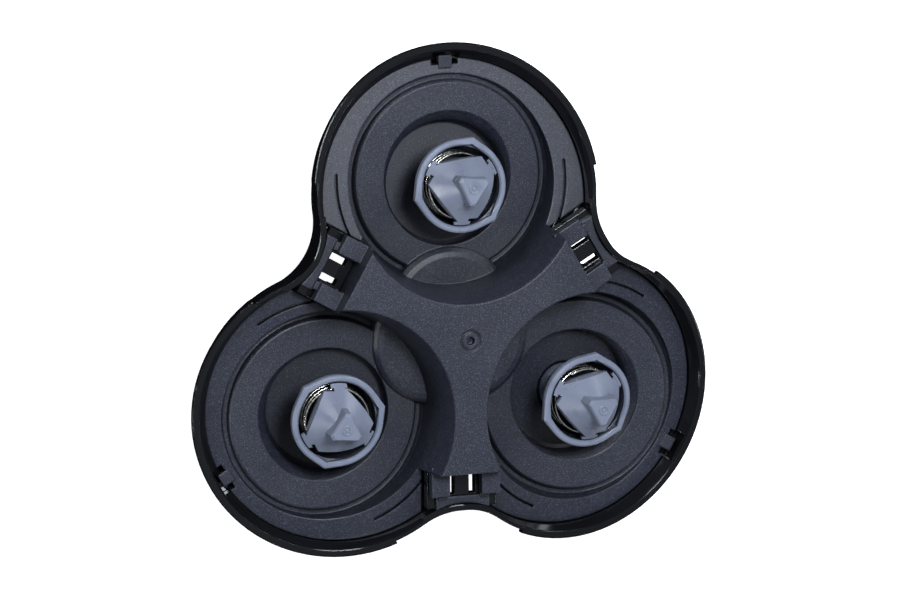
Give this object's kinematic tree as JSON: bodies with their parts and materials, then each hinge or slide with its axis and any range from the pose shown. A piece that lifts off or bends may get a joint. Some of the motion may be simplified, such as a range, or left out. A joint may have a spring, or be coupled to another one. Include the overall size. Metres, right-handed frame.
{
  "type": "rotary shaver drive head base",
  "caption": "Trefoil drive head base of a rotary shaver: gloss casing, matte hair tray, gear train and sprung triangular drive tips on tilted spindles.",
  "frame": {"origin": "centre of the neck's end face, on the head's three-fold axis", "axes": "+Z along the three-fold axis towards the cutters, +Y towards lobe 1, +X completes the right-handed set"},
  "size_m": [0.0644, 0.0605, 0.0256],
  "materials": {
    "gloss_black": "moulded, piano gloss",
    "matte_charcoal": "moulded, fine spark-eroded texture",
    "grey_acetal": "moulded, satin",
    "natural_acetal": "moulded, satin",
    "spring_steel": "drawn wire and strip",
    "pin_steel": "ground",
    "screw_steel": "blackened",
    "bush_bronze": "sintered",
    "black_rubber": "moulded"
  },
  "bodies": {
    "root": {"rim_casing": "gloss_black", "hair_tray": "matte_charcoal", "lower_cover": "gloss_black", "case_gasket": "black_rubber", "cover_screws": "screw_steel", "click_spring": "spring_steel", "neck_seal": "black_rubber", "centre_bush": "bush_bronze", "centre_pin": "pin_steel", "axle_pin_1": "pin_steel", "thrust_washer_1": "spring_steel", "well_seal_1": "black_rubber", "axle_pin_2": "pin_steel", "thrust_washer_2": "spring_steel", "well_seal_2": "black_rubber", "axle_pin_3": "pin_steel", "thrust_washer_3": "spring_steel", "well_seal_3": "black_rubber"},
    "drive_hub": {"centre_gear": "natural_acetal", "drive_socket": "grey_acetal"},
    "spindle_1": {"spindle_gear_1": "natural_acetal", "coupling_sleeve_1": "grey_acetal", "tip_spring_1": "spring_steel"},
    "tip_1": {"drive_tip_1": "grey_acetal"},
    "spindle_2": {"spindle_gear_2": "natural_acetal", "coupling_sleeve_2": "grey_acetal", "tip_spring_2": "spring_steel"},
    "tip_2": {"drive_tip_2": "grey_acetal"},
    "spindle_3": {"spindle_gear_3": "natural_acetal", "coupling_sleeve_3": "grey_acetal", "tip_spring_3": "spring_steel"},
    "tip_3": {"drive_tip_3": "grey_acetal"}
  },
  "joints": [
    {"name": "drive_gear_spin", "type": "hinge", "parent": "root", "child": "drive_hub", "pos_m": [0, 0, 0.0105], "axis": [0, 0, 1], "continuous": true},
    {"name": "spindle_1_spin", "type": "hinge", "parent": "root", "child": "spindle_1", "pos_m": [0, 0.018, 0.0208], "axis": [0, 0.0872, 0.9962], "continuous": true},
    {"name": "tip_1_press", "type": "slide", "parent": "spindle_1", "child": "tip_1", "axis": [0, 0.0872, 0.9962], "range_m": [-0.0016, 0], "stiffness_N_per_m": 110, "springref_m": 0.002, "deforming": ["tip_spring_1"]},
    {"name": "spindle_2_spin", "type": "hinge", "parent": "root", "child": "spindle_2", "pos_m": [-0.01559, -0.009, 0.0208], "axis": [-0.0755, -0.0436, 0.9962], "continuous": true},
    {"name": "tip_2_press", "type": "slide", "parent": "spindle_2", "child": "tip_2", "axis": [-0.0755, -0.0436, 0.9962], "range_m": [-0.0016, 0], "stiffness_N_per_m": 110, "springref_m": 0.002, "deforming": ["tip_spring_2"]},
    {"name": "spindle_3_spin", "type": "hinge", "parent": "root", "child": "spindle_3", "pos_m": [0.01559, -0.009, 0.0208], "axis": [0.0755, -0.0436, 0.9962], "continuous": true},
    {"name": "tip_3_press", "type": "slide", "parent": "spindle_3", "child": "tip_3", "axis": [0.0755, -0.0436, 0.9962], "range_m": [-0.0016, 0], "stiffness_N_per_m": 110, "springref_m": 0.002, "deforming": ["tip_spring_3"]}
  ],
  "couplings": [
    {"joint": "spindle_1_spin", "follows": "drive_gear_spin", "ratio": -0.94286},
    {"joint": "spindle_2_spin", "follows": "drive_gear_spin", "ratio": -0.94286},
    {"joint": "spindle_3_spin", "follows": "drive_gear_spin", "ratio": -0.94286}
  ]
}
